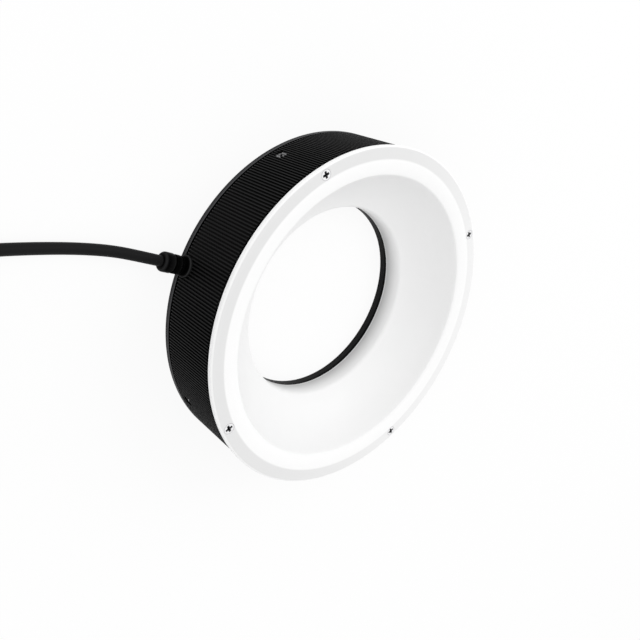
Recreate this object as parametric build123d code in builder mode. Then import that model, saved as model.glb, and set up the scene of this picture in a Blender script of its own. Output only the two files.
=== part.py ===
from build123d import *
import os
from math import atan2, cos, degrees, hypot, pi, radians, sin, sqrt, tan

# A ring light for machine vision, in millimetres. Z runs along the light's axis, towards its lit
# front. The origin is the centre of the rear face, and the light lies on that face. The cord
# leaves along -X.

# Overall sizes
housing_diameter = 149.0
flange_overhang = 0.5  # the diffuser's flange stands this far proud of the housing
ring_width = 30.5  # radial, from the bore to the housing's outside
overall_height = 34.0  # rear face to the diffuser's front plane

# Housing
wall_thickness = 3.0
land_width = 5.0  # radial width of the front land that carries the flange
land_height = 8.0
rim_height = 2.4  # smooth band at the rear
relief_width = 1.0  # groove between that band and the ribs
relief_depth = 0.7
rib_count = 360
rib_depth = 0.5
rib_crest_width = 0.5
rib_front_gap = 1.6  # plain band between the ribs and the flange
edge_chamfer = 0.3

# Rear cover
cover_gap = 0.1  # radial gap between the cover's skirt and the housing
plate_thickness = 3.5
lip_width = 1.2  # lip round the bore that the diffuser's neck stands on
lip_height = 1.0
skirt_thickness = 4.8
skirt_height = 12.0  # from the rear face
mount_hole_count = 3  # the first one is opposite the cord
mount_hole_radius = 1.25  # core of an M3 thread
mount_hole_depth = 8.0
bore_chamfer = 0.4

# Screws, with threads drawn as plain cylinders of their core diameter
quadrants = 4
screw_angle = 45.0  # front and side screws stand this far from the cord
screw_core_radius = 1.03  # M2.5
screw_clearance_radius = 1.4
thread_gap = 0.02
screw_edge_distance = 2.75  # front screw circle to the housing's outside
front_hole_depth = 5.5
side_screw_height = 7.8
flat_head_radius = 2.25
flat_head_gap = 0.1  # round the head's edge, and from the countersink up to the ribs' bottoms
flat_screw_length = 6.0
recess_span = 2.9  # cross recess in every head
recess_slot = 0.65
recess_depth = 0.6
board_screw_count = 6  # places on the circle, of which the one at the cord is left out
board_head_radius = 2.2
board_head_height = 1.4
board_screw_length = 4.4
board_hole_margin = 0.2  # the hole is this much deeper than the screw

# Front diffuser
flange_thickness = 2.0
flange_round = 0.8
shoulder_width = 6.7  # from the land's inside to the crease of the bowl
shoulder_drop = 1.05
bowl_wall = 2.0
bowl_sag = 3.1  # how far the bowl's wall curves outside its chord
neck_top = 13.2  # rear face to the corner between bowl and neck
neck_round = 1.8
slip_gap = 0.1  # between the neck's foot and the cover's lip and plate
foot_width = 1.7

# Light source
pad_thickness = 0.5
pad_margin = 0.5  # the pad ends this far inside the board's edges
board_thickness = 1.6
board_gap = 0.6  # board to skirt
foot_gap = 0.8  # board to the neck's foot
led_circle_count = 3
led_inner_inset = 3.2  # board's inner edge to the innermost circle
led_outer_inset = 3.0  # outermost circle to the board's outer edge
led_pitch = 8.1  # least distance between the LEDs of a circle, which holds whole strings
leds_per_string = 6
led_length = 3.5  # along the circle
led_width = 2.8
led_height = 0.8
lens_radius = 1.1
lens_depth = 0.3
resistor_length = 3.2
resistor_width = 1.6
resistor_height = 0.6
terminal_width = 4.2
terminal_length = 5.6
terminal_height = 3.2
terminal_inset = 4.4  # from the board's edge to the terminal's outer end
terminal_hole_radius = 0.7
terminal_hole_depth = 4.0
lead_radius = 0.65
lead_spacing = 2.0  # between the two leads' middles
lead_insertion = 3.5
notch_width = 4.4  # in the board's edge, where the leads come up
notch_depth = 2.5

# Cable gland, with distances along it counted outwards from the seat of its collar
gland_height = 5.0  # its axis above the rear face
seat_depth = 0.7  # the seat is this far inside the housing's outside
gland_bore_gap = 0.05
shank_radius = 3.0
shank_gap = 0.1
collar_radius = 4.35
collar_thickness = 1.7
collar_round = 0.4
body_radius = 3.65
groove_radius = 3.05
groove_width = 0.7
ridge_widths = (1.9, 2.2)
bulb_radius = 3.8
bulb_length = 4.6
bulb_round = 1.5
snap_lip_radius = 3.7
snap_lip_thickness = 1.1
snap_lip_gap = 0.2  # the lip's face to the housing's inside
skirt_slot_radius = 4.1
tie_gap = 0.1
jacket_tie_width = 2.0
jacket_tie_thickness = 0.9
jacket_end = 0.9  # the jacket reaches this far past its tie

# Cord
cord_radius = 2.15
layer_gap = 0.45  # between the two layers of the coil
coil_centre = (-165.9, -45.5)
coil_start_angle = 107.4
coil_quarters = 9
climb_quarter = 5  # the spiral reverses and climbs about this quarter turn
coil_inner_radius = 21.5
coil_quarter_step = 1.22  # change of radius in each quarter turn
coil_tie_quarter = 3
coil_tie_thickness = 0.45
coil_tie_width = 3.0
coil_tie_gap = 0.15
coil_tie_head = (2.4, 4.2, 3.4)  # radial, upright and along the cord
lead_last_run = 14.0
tail_first_run = 8.6
lead_route_middle = (
    (-93.5, 0.0, 5.0),
    (-103.5, -0.6, 3.0),
    (-115.5, -2.5, 2.15),
    (-128.7, -5.3, 2.15),
    (-143.2, -9.05, 2.15),
)
tail_route_rest = (
    (-182.7, -73.6, 5.6),
    (-175.8, -79.6, 3.5),
    (-167.4, -83.4, 2.8),
    (-158.3, -84.7, 2.8),
    (-149.8, -84.7, 2.8),
)

# Plug on the cord's far end
sleeve_thickness = 0.4
sleeve_gap = 0.05
sleeve_on_jacket = 4.0
sleeve_past_jacket = 3.0
plug_wire_radius = 0.75
plug_wire_spacing = 1.9  # at the jacket's end
plug_wire_length = 12.0
plug_pitch = 2.5
shell_length = 16.0
shell_width = 7.6
shell_height = 5.6
shell_round = 0.5
cavity_size = 1.9
cavity_depth = 12.5
wire_entry = 2.0  # how far each wire goes into the shell
latch_length = 11.0
latch_width = 3.0
latch_thickness = 0.9
latch_rise = 0.7  # gap under the latch arm
contact_size = 1.1
contact_length = 8.0

# Worked out from the sizes above
housing_radius = housing_diameter / 2
flange_radius = housing_radius + flange_overhang
bore_radius = housing_radius - ring_width
rib_valley_radius = housing_radius - rib_depth
wall_inner_radius = housing_radius - wall_thickness
land_radius = housing_radius - land_width
land_top = overall_height - flange_thickness
rib_start = rim_height + relief_width
rib_end = land_top - rib_front_gap
cover_radius = wall_inner_radius - cover_gap
skirt_inner_radius = cover_radius - skirt_thickness
mount_circle_radius = cover_radius - skirt_thickness / 2
lip_radius = bore_radius + lip_width
lip_top = plate_thickness + lip_height
front_screw_circle = housing_radius - screw_edge_distance
flat_head_height = flat_head_radius - screw_core_radius
flat_head_sink = flat_head_gap - thread_gap  # the head's face below the countersink's edge
side_screw_seat = rib_valley_radius - flat_head_gap
foot_inner_radius = lip_radius + slip_gap
foot_radius = foot_inner_radius + foot_width
crease_radius = land_radius - shoulder_width
crease_height = overall_height - shoulder_drop
board_inner_radius = foot_radius + foot_gap
board_radius = skirt_inner_radius - board_gap
board_bottom = plate_thickness + pad_thickness
board_top = board_bottom + board_thickness
lead_axis_height = board_top + terminal_height / 2
first_led_radius = board_inner_radius + led_inner_inset
last_led_radius = board_radius - led_outer_inset
led_circle_step = (last_led_radius - first_led_radius) / (led_circle_count - 1)
led_radii = [first_led_radius + led_circle_step * index for index in range(led_circle_count)]
string_pitch = leds_per_string * led_pitch
led_circles = [
    (radius, leds_per_string * int(2 * pi * radius / string_pitch)) for radius in led_radii
]
resistor_circle = first_led_radius + led_circle_step / 2
board_screw_circle = last_led_radius - led_circle_step / 2
terminal_outer_end = board_radius - terminal_inset
led_total = sum(count for circle_radius, count in led_circles)
string_count = led_total // leds_per_string
seat_radius = housing_radius - seat_depth
bulb_start = collar_thickness + sum(ridge_widths) + groove_width * len(ridge_widths)
gland_tip = seat_radius + bulb_start + bulb_length
snap_lip_face = wall_inner_radius - snap_lip_gap
snap_lip_end = snap_lip_face - snap_lip_thickness
jacket_tie_outer_end = snap_lip_end - tie_gap
jacket_tie_inner_end = jacket_tie_outer_end - jacket_tie_width
jacket_inner_end = jacket_tie_inner_end - jacket_end
cord_diameter = 2 * cord_radius
coil_low = cord_radius + coil_tie_gap + coil_tie_thickness
coil_high = coil_low + cord_diameter + layer_gap

upright = (Align.CENTER, Align.CENTER, Align.MIN)


def radial_planes(radius, height, angles):
    """Planes on a cylinder's wall that look straight outwards."""
    planes = []
    for angle in angles:
        outward = Vector(cos(radians(angle)), sin(radians(angle)), 0)
        planes.append(Plane(origin=outward * radius + Vector(0, 0, height), z_dir=outward))
    return planes


def front_planes(height):
    """Planes on the front screws' axes that look to the front."""
    planes = []
    for angle in screw_angles:
        outward = Vector(cos(radians(angle)), sin(radians(angle)), 0)
        middle = outward * front_screw_circle + Vector(0, 0, height)
        planes.append(Plane(origin=middle, x_dir=outward, z_dir=(0, 0, 1)))
    return planes


def cross_recess():
    """Two crossing slots, drawn into the sketch in use."""
    Rectangle(recess_span, recess_slot)
    Rectangle(recess_slot, recess_span)


def flat_screws(planes):
    """Flat head screws, each with the face of its head on one of the planes."""
    with BuildPart() as screws:
        for plane in planes:
            with BuildSketch(plane):
                Circle(flat_head_radius)
            with BuildSketch(plane.offset(-flat_head_height)):
                Circle(screw_core_radius)
            loft()
            with BuildSketch(plane.offset(-flat_head_height)):
                Circle(screw_core_radius)
            extrude(amount=flat_head_height - flat_screw_length)
            with BuildSketch(plane):
                cross_recess()
            extrude(amount=-recess_depth, mode=Mode.SUBTRACT)
    return screws


screw_angles = [screw_angle + 360 / quadrants * index for index in range(quadrants)]
cord_plane = Plane(origin=(0, 0, gland_height), x_dir=(0, -1, 0), z_dir=(-1, 0, 0))

# Housing: a turned tube with a smooth rear rim, a relief groove and axial ribs up to the flange
rib_pitch = 2 * pi / rib_count
crest_half = rib_crest_width / 2 / housing_radius
flank = (rib_pitch - 2 * crest_half) / 4
rib_corners = (
    (-crest_half - flank, rib_valley_radius),
    (-crest_half, housing_radius),
    (crest_half, housing_radius),
    (crest_half + flank, rib_valley_radius),
)
rib_outline = [
    (radius * cos(index * rib_pitch + offset), radius * sin(index * rib_pitch + offset))
    for index in range(rib_count)
    for offset, radius in rib_corners
]

with BuildPart() as housing:
    with BuildSketch():
        Circle(housing_radius)
    extrude(amount=rim_height)
    chamfer(housing.edges().group_by(Axis.Z)[0], length=edge_chamfer)
    with BuildSketch(Plane.XY.offset(rim_height)):
        Circle(housing_radius - relief_depth)
    extrude(amount=relief_width)
    with BuildSketch(Plane.XY.offset(rib_start)):
        with BuildLine():
            Polyline(*rib_outline, close=True)
        make_face()
    extrude(amount=rib_end - rib_start)
    with BuildSketch(Plane.XY.offset(rib_end)):
        Circle(rib_valley_radius)
    extrude(amount=rib_front_gap)
    Cylinder(land_radius, land_top, align=upright, mode=Mode.SUBTRACT)
    Cylinder(wall_inner_radius, land_top - land_height, align=upright, mode=Mode.SUBTRACT)
    with Locations(*front_planes(land_top)):
        Hole(screw_core_radius + thread_gap, depth=front_hole_depth)
    with Locations(*radial_planes(side_screw_seat, side_screw_height, screw_angles)):
        CounterSinkHole(
            radius=screw_clearance_radius,
            counter_sink_radius=flat_head_radius + flat_head_gap,
            depth=wall_thickness,
            counter_sink_angle=90,
        )
    with BuildSketch(cord_plane.offset(seat_radius)):
        Circle(collar_radius + shank_gap)
    extrude(amount=wall_thickness, mode=Mode.SUBTRACT)
    with BuildSketch(cord_plane.offset(seat_radius)):
        Circle(shank_radius + shank_gap)
    extrude(amount=-wall_thickness, mode=Mode.SUBTRACT)

# Rear cover: a plate with a lip round the bore and a skirt that the side screws hold
with BuildPart() as rear_cover:
    with BuildSketch(Plane.XZ):
        with BuildLine():
            Polyline(
                (bore_radius, 0),
                (cover_radius, 0),
                (cover_radius, skirt_height),
                (skirt_inner_radius, skirt_height),
                (skirt_inner_radius, plate_thickness),
                (lip_radius, plate_thickness),
                (lip_radius, lip_top),
                (bore_radius, lip_top),
                close=True,
            )
        make_face()
    revolve(axis=Axis.Z)
    chamfer(rear_cover.edges().group_by(Axis.Z)[0], length=bore_chamfer)
    with PolarLocations(mount_circle_radius, mount_hole_count):
        Hole(mount_hole_radius, depth=mount_hole_depth)
    with Locations(*radial_planes(cover_radius, side_screw_height, screw_angles)):
        Hole(screw_core_radius + thread_gap, depth=skirt_thickness + wall_thickness)
    board_screw_angles = [
        360 / board_screw_count * index
        for index in range(board_screw_count)
        if index != board_screw_count // 2
    ]
    board_screw_points = [
        (board_screw_circle * cos(radians(angle)), board_screw_circle * sin(radians(angle)))
        for angle in board_screw_angles
    ]
    board_hole_depth = board_screw_length - board_thickness - pad_thickness + board_hole_margin
    with Locations((0, 0, plate_thickness)):
        with Locations(*board_screw_points):
            Hole(screw_core_radius + thread_gap, depth=board_hole_depth)
    with BuildSketch(cord_plane.offset(skirt_inner_radius - wall_thickness)):
        Circle(skirt_slot_radius)
        with Locations((0, skirt_height / 2)):
            Rectangle(2 * skirt_slot_radius, skirt_height)
    extrude(amount=skirt_thickness + 2 * wall_thickness, mode=Mode.SUBTRACT)

# Front diffuser: flange, shoulder, concave bowl and neck turned as one opal moulding
chord_radial = crease_radius - bore_radius
chord_axial = crease_height - neck_top
chord = hypot(chord_radial, chord_axial)
bowl_radius = chord**2 / (8 * bowl_sag) + bowl_sag / 2
bowl_centre = (
    (crease_radius + bore_radius) / 2 - chord_axial / chord * (bowl_radius - bowl_sag),
    (crease_height + neck_top) / 2 + chord_radial / chord * (bowl_radius - bowl_sag),
)
shell_radius = bowl_radius + bowl_wall
shell_low = (
    foot_radius,
    bowl_centre[1] - sqrt(shell_radius**2 - (foot_radius - bowl_centre[0]) ** 2),
)
shell_high = (
    bowl_centre[0] + sqrt(shell_radius**2 - (land_top - bowl_centre[1]) ** 2),
    land_top,
)


def on_bowl(start, end, radius):
    """The point halfway along an arc about the bowl's centre."""
    low = atan2(start[1] - bowl_centre[1], start[0] - bowl_centre[0])
    high = atan2(end[1] - bowl_centre[1], end[0] - bowl_centre[0])
    middle = (low + high) / 2
    return (bowl_centre[0] + radius * cos(middle), bowl_centre[1] + radius * sin(middle))


with BuildPart() as front_diffuser:
    with BuildSketch(Plane.XZ) as diffuser_profile:
        with BuildLine():
            corner = (bore_radius, neck_top)
            crease = (crease_radius, crease_height)
            Line((bore_radius, lip_top), corner)
            ThreePointArc(corner, on_bowl(corner, crease, bowl_radius), crease)
            TangentArc((land_radius, overall_height), crease, tangent=(-1, 0))
            Polyline(
                (land_radius, overall_height),
                (flange_radius, overall_height),
                (flange_radius, land_top),
                shell_high,
            )
            ThreePointArc(shell_high, on_bowl(shell_low, shell_high, shell_radius), shell_low)
            Polyline(
                shell_low,
                (foot_radius, plate_thickness + slip_gap),
                (foot_inner_radius, plate_thickness + slip_gap),
                (foot_inner_radius, lip_top),
                (bore_radius, lip_top),
            )
        make_face()
        fillet(diffuser_profile.vertices().sort_by_distance(corner)[0], radius=neck_round)
        flange_corner = (flange_radius, overall_height)
        fillet(diffuser_profile.vertices().sort_by_distance(flange_corner)[0], radius=flange_round)
    revolve(axis=Axis.Z)
    with Locations(*front_planes(overall_height)):
        CounterSinkHole(
            radius=screw_clearance_radius,
            counter_sink_radius=flat_head_radius + flat_head_gap,
            depth=flange_thickness,
            counter_sink_angle=90,
        )

# Screws, flush with the flange and just below the bottoms of the ribs
front_screws = flat_screws(front_planes(overall_height - flat_head_sink))
side_screws = flat_screws(
    radial_planes(side_screw_seat - flat_head_sink, side_screw_height, screw_angles)
)

# Thermal pad and circuit board, one on the other on the cover's plate
with BuildPart() as thermal_pad:
    with BuildSketch(Plane.XY.offset(plate_thickness)):
        Circle(board_radius - pad_margin)
        Circle(board_inner_radius + pad_margin, mode=Mode.SUBTRACT)
        with Locations(*board_screw_points):
            Circle(screw_clearance_radius, mode=Mode.SUBTRACT)
        with Locations((-board_radius, 0)):
            Rectangle(2 * notch_depth, notch_width, mode=Mode.SUBTRACT)
    extrude(amount=pad_thickness)

with BuildPart() as led_board:
    with BuildSketch(Plane.XY.offset(board_bottom)):
        Circle(board_radius)
        Circle(board_inner_radius, mode=Mode.SUBTRACT)
        with Locations(*board_screw_points):
            Circle(screw_clearance_radius, mode=Mode.SUBTRACT)
        with Locations((-board_radius, 0)):
            Rectangle(2 * notch_depth, notch_width, mode=Mode.SUBTRACT)
    extrude(amount=board_thickness)

with BuildPart() as board_screws:
    with BuildSketch(Plane.XY.offset(board_top)):
        with Locations(*board_screw_points):
            Circle(board_head_radius)
    extrude(amount=board_head_height)
    with BuildSketch(Plane.XY.offset(board_top)):
        with Locations(*board_screw_points):
            Circle(screw_core_radius)
    extrude(amount=-board_screw_length)
    with BuildSketch(Plane.XY.offset(board_top + board_head_height)):
        with Locations(*board_screw_points):
            cross_recess()
    extrude(amount=-recess_depth, mode=Mode.SUBTRACT)

# LEDs in three circles, each a white package with a phosphor lens set into it
with BuildPart() as led_packages:
    with BuildSketch(Plane.XY.offset(board_top)):
        for circle_radius, count in led_circles:
            with PolarLocations(circle_radius, count, start_angle=180 / count):
                Rectangle(led_width, led_length)
    extrude(amount=led_height)
    with BuildSketch(Plane.XY.offset(board_top + led_height)):
        for circle_radius, count in led_circles:
            with PolarLocations(circle_radius, count, start_angle=180 / count):
                Circle(lens_radius)
    extrude(amount=-lens_depth, mode=Mode.SUBTRACT)

with BuildPart() as led_lenses:
    with BuildSketch(Plane.XY.offset(board_top + led_height)):
        for circle_radius, count in led_circles:
            with PolarLocations(circle_radius, count, start_angle=180 / count):
                Circle(lens_radius)
    extrude(amount=-lens_depth)

with BuildPart() as string_resistors:
    with BuildSketch(Plane.XY.offset(board_top)):
        with PolarLocations(resistor_circle, string_count, start_angle=180 / string_count):
            Rectangle(resistor_width, resistor_length)
    extrude(amount=resistor_height)

# Push-in terminal on the board, with one hole for each lead
with BuildPart() as terminal_block:
    with BuildSketch(Plane.XY.offset(board_top)):
        with Locations((terminal_length / 2 - terminal_outer_end, 0)):
            Rectangle(terminal_length, terminal_width)
    extrude(amount=terminal_height)
    with BuildSketch(Plane(origin=(-terminal_outer_end, 0, lead_axis_height), z_dir=(-1, 0, 0))):
        with GridLocations(0, lead_spacing, 1, 2):
            Circle(terminal_hole_radius)
    extrude(amount=-terminal_hole_depth, mode=Mode.SUBTRACT)


def corner_radii(points):
    """The largest arc at each corner that the runs on both sides of it allow."""
    radii = []
    for before, corner_point, after in zip(points, points[1:], points[2:]):
        first = Vector(*corner_point) - Vector(*before)
        second = Vector(*after) - Vector(*corner_point)
        half_turn = radians(first.get_angle(second)) / 2
        radii.append(0.45 * min(first.length, second.length) / tan(half_turn))
    return radii


def round_tube(points, radius):
    """A round wire or cord on straight runs joined by tangent arcs."""
    with BuildPart() as tube:
        with BuildLine() as route:
            FilletPolyline(*points, radius=corner_radii(points))
        with BuildSketch(Plane(origin=points[0], z_dir=Vector(*points[1]) - Vector(*points[0]))):
            Circle(radius)
        sweep(path=route.line)
    return tube


# Inner leads from the cord's jacket, up through the board's notch and into the terminal
def inner_lead(side):
    """One lead; side is 1 or -1."""
    offset = side * lead_spacing / 2
    start = -jacket_inner_end
    notch_side = -(board_radius - lead_radius)
    rise_end = -(board_radius - notch_depth - lead_radius)
    return round_tube(
        (
            (start, side * cord_radius / 2, gland_height),
            (notch_side, side * cord_radius / 2, gland_height),
            (rise_end, offset, lead_axis_height),
            (lead_insertion - terminal_outer_end, offset, lead_axis_height),
        ),
        lead_radius,
    )


lead_positive = inner_lead(1)
lead_negative = inner_lead(-1)

# Cable gland: snap lip, shank, collar, grooved body and bulb, turned about the cord's axis
gland_steps = [
    (snap_lip_end - seat_radius, snap_lip_radius),
    (snap_lip_face - seat_radius, snap_lip_radius),
    (snap_lip_face - seat_radius, shank_radius),
    (0, shank_radius),
    (0, collar_radius),
    (collar_thickness, collar_radius),
]
reach = collar_thickness
for ridge_width in ridge_widths:
    gland_steps += [(reach, body_radius), (reach + ridge_width, body_radius)]
    gland_steps += [(reach + ridge_width, groove_radius)]
    reach += ridge_width + groove_width
    gland_steps += [(reach, groove_radius)]
gland_steps += [(bulb_start, bulb_radius), (bulb_start + bulb_length, bulb_radius)]
gland_bore_radius = cord_radius + gland_bore_gap

with BuildPart() as cable_gland:
    with BuildSketch(Plane.XZ) as gland_profile:
        with BuildLine():
            Polyline(
                (-snap_lip_end, gland_height + gland_bore_radius),
                *[(-seat_radius - step, gland_height + radius) for step, radius in gland_steps],
                (-gland_tip, gland_height + gland_bore_radius),
                close=True,
            )
        make_face()
        bulb_corner = (-gland_tip, gland_height + bulb_radius)
        fillet(gland_profile.vertices().sort_by_distance(bulb_corner)[0], radius=bulb_round)
        bulb_shoulder = (-seat_radius - bulb_start, gland_height + bulb_radius)
        fillet(gland_profile.vertices().sort_by_distance(bulb_shoulder)[0], radius=collar_round)
        collar_corner = (-seat_radius - collar_thickness, gland_height + collar_radius)
        fillet(gland_profile.vertices().sort_by_distance(collar_corner)[0], radius=collar_round)
    revolve(axis=Axis((0, 0, gland_height), (1, 0, 0)))

with BuildPart() as jacket_tie:
    with BuildSketch(cord_plane.offset(jacket_tie_inner_end)):
        Circle(cord_radius + gland_bore_gap + jacket_tie_thickness)
        Circle(cord_radius + gland_bore_gap, mode=Mode.SUBTRACT)
    extrude(amount=jacket_tie_width)

with BuildPart() as cord_inner:
    with BuildSketch(cord_plane.offset(jacket_inner_end)):
        Circle(cord_radius)
    extrude(amount=gland_tip - jacket_inner_end)


# Coil: a flat spiral inwards, a climb of one layer while it reverses, and a spiral outwards
def coil_knot(quarter):
    """Place and direction of the cord after this many quarter turns."""
    from_climb = quarter - climb_quarter
    radius = coil_inner_radius + coil_quarter_step * abs(from_climb)
    angle = radians(coil_start_angle + 90 * quarter)
    climbed = min(max((from_climb + 1) / 2, 0), 1)
    outward = Vector(cos(angle), sin(angle), 0)
    onward = Vector(-sin(angle), cos(angle), 0)
    place = Vector(*coil_centre, coil_low + (coil_high - coil_low) * climbed) + outward * radius
    drift = 0 if from_climb == 0 else coil_quarter_step * (1 if from_climb > 0 else -1)
    climb = (coil_high - coil_low) / 2 if from_climb == 0 else 0
    quarter_length = radius * pi / 2
    direction = onward * quarter_length + outward * drift + Vector(0, 0, climb)
    return place, direction.normalized()


def biarc_joint(start, start_way, end, end_way):
    """Where the two arcs meet that join two points in given directions."""
    span = end - start
    ways = start_way + end_way
    spread = 2 * (1 - start_way.dot(end_way))
    along = span.dot(ways)
    reach_out = (sqrt(along**2 + spread * span.dot(span)) - along) / spread
    return (start + end + (start_way - end_way) * reach_out) / 2


coil_knots = [coil_knot(quarter) for quarter in range(coil_quarters + 1)]
first_place, first_way = coil_knots[0]
last_place, last_way = coil_knots[-1]
coil_start = first_place - first_way * cord_diameter
coil_end = last_place + last_way * cord_diameter

with BuildPart() as cord_coil:
    with BuildLine() as coil_path:
        Line(coil_start, first_place)
        for (place, way), (next_place, next_way) in zip(coil_knots, coil_knots[1:]):
            joint = biarc_joint(place, way, next_place, next_way)
            first_arc = TangentArc(place, joint, tangent=way)
            TangentArc(joint, next_place, tangent=first_arc % 1)
        Line(last_place, coil_end)
    with BuildSketch(Plane(origin=coil_start, z_dir=first_way)):
        Circle(cord_radius)
    sweep(path=coil_path.line)


def least_gap(path, diameter, step=1.0):
    """Least gap between parts of a cord that lie more than ten diameters apart along it."""
    count = int(path.length / step)
    places = [path.position_at(index / count) for index in range(count + 1)]
    apart = int(10 * diameter / step)
    return min(
        (places[later] - places[index]).length - diameter
        for index in range(count + 1 - apart)
        for later in range(index + apart, count + 1)
    )


coil_wire = coil_path.wire()
print(f"coil: length {coil_wire.length:.1f}, least gap {least_gap(coil_wire, cord_diameter):.2f}")

# Tie round the coil, where two turns lie one on the other
tie_angle = radians(coil_start_angle + 90 * coil_tie_quarter)
tie_radius = coil_inner_radius + coil_quarter_step * (climb_quarter - coil_tie_quarter)
tie_outward = Vector(cos(tie_angle), sin(tie_angle), 0)
tie_middle = Vector(*coil_centre, (coil_low + coil_high) / 2) + tie_outward * tie_radius
tie_plane = Plane(origin=tie_middle, x_dir=tie_outward, z_dir=(-sin(tie_angle), cos(tie_angle), 0))
tie_inner = cord_radius + coil_tie_gap
tie_head_offset = tie_inner + coil_tie_thickness + coil_tie_head[0] / 2
with BuildPart() as coil_tie:
    with BuildSketch(tie_plane):
        SlotCenterToCenter(coil_high - coil_low, 2 * (tie_inner + coil_tie_thickness), rotation=90)
        SlotCenterToCenter(coil_high - coil_low, 2 * tie_inner, rotation=90, mode=Mode.SUBTRACT)
    extrude(amount=coil_tie_width / 2, both=True)
    with BuildSketch(tie_plane):
        with Locations((tie_head_offset, 0)):
            Rectangle(coil_tie_head[0], coil_tie_head[1])
    extrude(amount=coil_tie_head[2] / 2, both=True)

# Free stretches of the cord: from the gland to the coil, and from the coil to the plug
lead_route = (
    (-gland_tip, 0, gland_height),
    *lead_route_middle,
    tuple(coil_start - first_way * lead_last_run),
    tuple(coil_start),
)
tail_route = (
    tuple(coil_end),
    tuple(coil_end + last_way * tail_first_run),
    *tail_route_rest,
)
cord_lead = round_tube(lead_route, cord_radius)
cord_tail = round_tube(tail_route, cord_radius)
for name, route, tube in (("lead", lead_route, cord_lead), ("tail", tail_route, cord_tail)):
    radii = ", ".join(f"{radius:.0f}" for radius in corner_radii(route))
    length = tube.part.volume / (pi * cord_radius**2)
    print(f"cord {name}: length by volume {length:.1f}, bend radii {radii}")

# Plug: heat-shrink sleeve, two wires and a shell with a latch arm and two contacts
tail_end_x, plug_y, plug_height = tail_route[-1]
sleeve_inner = cord_radius + sleeve_gap
shell_start = tail_end_x + plug_wire_length
shell_end = shell_start + shell_length
plug_plane = Plane(origin=(0, plug_y, plug_height), x_dir=(0, 1, 0), z_dir=(1, 0, 0))

with BuildPart() as plug_sleeve:
    with BuildSketch(plug_plane.offset(tail_end_x - sleeve_on_jacket)):
        Circle(sleeve_inner + sleeve_thickness)
        Circle(sleeve_inner, mode=Mode.SUBTRACT)
    extrude(amount=sleeve_on_jacket + sleeve_past_jacket)


def plug_wire(side):
    """One wire from the jacket's end into the shell; side is 1 or -1."""
    near = plug_y + side * plug_wire_spacing / 2
    far = plug_y + side * plug_pitch / 2
    return round_tube(
        (
            (tail_end_x, near, plug_height),
            (tail_end_x + plug_wire_length / 3, near, plug_height),
            (shell_start - plug_wire_length / 3, far, plug_height),
            (shell_start + wire_entry, far, plug_height),
        ),
        plug_wire_radius,
    )


plug_wire_positive = plug_wire(1)
plug_wire_negative = plug_wire(-1)

with BuildPart() as plug_shell:
    with BuildSketch(plug_plane.offset(shell_start)):
        RectangleRounded(shell_width, shell_height, shell_round)
    extrude(amount=shell_length)
    with BuildSketch(plug_plane.offset(shell_end)):
        with GridLocations(plug_pitch, 0, 2, 1):
            Rectangle(cavity_size, cavity_size)
    extrude(amount=-cavity_depth, mode=Mode.SUBTRACT)
    with BuildSketch(plug_plane.offset(shell_start)):
        with GridLocations(plug_pitch, 0, 2, 1):
            Circle(plug_wire_radius)
    extrude(amount=wire_entry, mode=Mode.SUBTRACT)
    latch_bottom = shell_height / 2 + latch_rise
    with BuildSketch(plug_plane.offset(shell_end - latch_thickness)):
        with Locations((0, shell_height / 2)):
            Rectangle(latch_width, latch_rise, align=(Align.CENTER, Align.MIN))
    extrude(amount=latch_thickness)
    with BuildSketch(plug_plane.offset(shell_end)):
        with Locations((0, latch_bottom)):
            Rectangle(latch_width, latch_thickness, align=(Align.CENTER, Align.MIN))
    extrude(amount=-latch_length)

with BuildPart() as plug_contacts:
    with BuildSketch(plug_plane.offset(shell_end - cavity_depth)):
        with GridLocations(plug_pitch, 0, 2, 1):
            Rectangle(contact_size, contact_size)
    extrude(amount=contact_length)

pieces = {
    "housing": housing,
    "rear_cover": rear_cover,
    "front_diffuser": front_diffuser,
    "front_screws": front_screws,
    "side_screws": side_screws,
    "thermal_pad": thermal_pad,
    "led_board": led_board,
    "board_screws": board_screws,
    "led_packages": led_packages,
    "led_lenses": led_lenses,
    "string_resistors": string_resistors,
    "terminal_block": terminal_block,
    "lead_positive": lead_positive,
    "lead_negative": lead_negative,
    "cable_gland": cable_gland,
    "jacket_tie": jacket_tie,
    "cord_inner": cord_inner,
    "cord_lead": cord_lead,
    "cord_coil": cord_coil,
    "coil_tie": coil_tie,
    "cord_tail": cord_tail,
    "plug_sleeve": plug_sleeve,
    "plug_wire_positive": plug_wire_positive,
    "plug_wire_negative": plug_wire_negative,
    "plug_shell": plug_shell,
    "plug_contacts": plug_contacts,
}
os.makedirs("parts", exist_ok=True)
for name, piece in pieces.items():
    piece.part.label = name
    export_step(piece.part, f"parts/{name}.step")
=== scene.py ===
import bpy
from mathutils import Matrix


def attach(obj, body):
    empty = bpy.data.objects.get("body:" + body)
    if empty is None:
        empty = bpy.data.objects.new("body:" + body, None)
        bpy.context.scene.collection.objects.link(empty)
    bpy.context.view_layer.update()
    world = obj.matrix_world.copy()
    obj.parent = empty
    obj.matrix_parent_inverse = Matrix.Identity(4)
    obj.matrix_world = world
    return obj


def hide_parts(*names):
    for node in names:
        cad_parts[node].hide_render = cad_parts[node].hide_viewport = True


bl_info = {
    "name": "Vision Ring Light",
    "version": (1, 0, 0),
    "blender": (4, 5, 0),
    "location": "3D View > Sidebar > Ring Light",
    "description": "Dresses a ribbed ring light with a white bowl, its cord and its stage",
    "category": "Object",
}

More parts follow.
